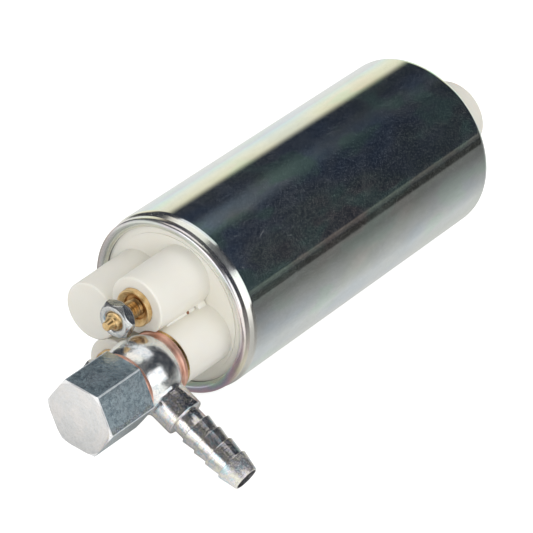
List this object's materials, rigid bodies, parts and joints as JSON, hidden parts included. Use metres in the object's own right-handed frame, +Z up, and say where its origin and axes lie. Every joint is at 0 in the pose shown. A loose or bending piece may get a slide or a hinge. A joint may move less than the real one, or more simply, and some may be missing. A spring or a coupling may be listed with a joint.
{
  "type": "electric fuel pump",
  "caption": "Cylindrical in-line fuel pump: plated can, white end mouldings, inlet spigot, angled hose barb on a ball fitting under a cap nut, and screw terminals.",
  "frame": {"origin": "on the can's axis, at half the can's length", "axes": "+X along the can's axis in the direction of fuel flow, from the inlet spigot to the outlet fitting; +Z up as the pump lies on its can and the tip of its hose barb; +Y to the side that the hose barb points to"},
  "size_m": [0.1785, 0.0722, 0.052],
  "materials": {
    "zinc_can": "satin",
    "white_moulding": "satin",
    "zinc_fitting": "satin",
    "brass": "satin",
    "copper": "satin",
    "enamelled_copper": "gloss",
    "spring_steel": "satin",
    "carbon": "matte",
    "bronze": "matte",
    "ferrite": "matte",
    "bright_steel": "satin",
    "laminated_iron": "satin",
    "sintered_steel": "matte",
    "pump_alloy": "satin",
    "dark_moulding": "matte",
    "seal_rubber": "matte"
  },
  "bodies": {
    "housing": {"can": "zinc_can", "outlet_cover": "white_moulding", "cover_seal": "seal_rubber", "outlet_nipple": "brass", "check_valve_seat": "brass", "check_valve_spring": "spring_steel", "banjo_fitting": "zinc_fitting", "banjo_washers": "copper", "cap_nut": "zinc_fitting", "terminal_stud_positive": "brass", "terminal_stud_negative": "brass", "terminal_rings": "brass", "terminal_nuts": "zinc_fitting", "brush_spring_positive": "spring_steel", "brush_spring_negative": "spring_steel", "outlet_bush": "bronze", "pump_bush": "bronze", "magnet_left": "ferrite", "magnet_right": "ferrite", "magnet_clips": "bright_steel", "spacer_ring": "pump_alloy", "pump_outlet_plate": "pump_alloy", "pump_ring": "pump_alloy", "pump_inlet_plate": "pump_alloy", "pump_screws": "bright_steel", "relief_valve_spring": "spring_steel", "inlet_cover": "white_moulding", "inlet_seal": "seal_rubber", "inlet_screen": "dark_moulding"},
    "armature": {"armature_shaft": "bright_steel", "thrust_washers": "bright_steel", "armature_core": "laminated_iron", "armature_winding": "enamelled_copper", "commutator_hub": "dark_moulding", "commutator_segments": "copper", "inner_rotor": "sintered_steel"},
    "outer_gear": {"outer_rotor": "sintered_steel"},
    "positive_brush": {"brush_positive": "carbon"},
    "negative_brush": {"brush_negative": "carbon"},
    "check_valve": {"check_valve_poppet": "brass"},
    "relief_valve": {"relief_valve_ball": "bright_steel"}
  },
  "joints": [
    {"name": "armature_spin", "type": "hinge", "parent": "housing", "child": "armature", "pos_m": [0, 0, 0], "axis": [1, 0, 0], "continuous": true},
    {"name": "outer_gear_spin", "type": "hinge", "parent": "housing", "child": "outer_gear", "pos_m": [-0.037, 0.00125, 0], "axis": [1, 0, 0], "continuous": true},
    {"name": "positive_brush_slide", "type": "slide", "parent": "housing", "child": "positive_brush", "axis": [1, 0, 0], "range_m": [0, 0.003], "stiffness_N_per_m": 200, "springref_m": -0.0075, "deforming": ["brush_spring_positive"]},
    {"name": "negative_brush_slide", "type": "slide", "parent": "housing", "child": "negative_brush", "axis": [1, 0, 0], "range_m": [0, 0.003], "stiffness_N_per_m": 200, "springref_m": -0.0075, "deforming": ["brush_spring_negative"]},
    {"name": "check_valve_slide", "type": "slide", "parent": "housing", "child": "check_valve", "axis": [1, 0, 0], "range_m": [0, 0.003], "stiffness_N_per_m": 100, "springref_m": -0.005, "deforming": ["check_valve_spring"]},
    {"name": "relief_valve_slide", "type": "slide", "parent": "housing", "child": "relief_valve", "axis": [-1, 0, 0], "range_m": [0, 0.0012], "stiffness_N_per_m": 120, "springref_m": -0.01, "deforming": ["relief_valve_spring"]}
  ],
  "couplings": [
    {"joint": "outer_gear_spin", "follows": "armature_spin", "ratio": 0.85714}
  ]
}
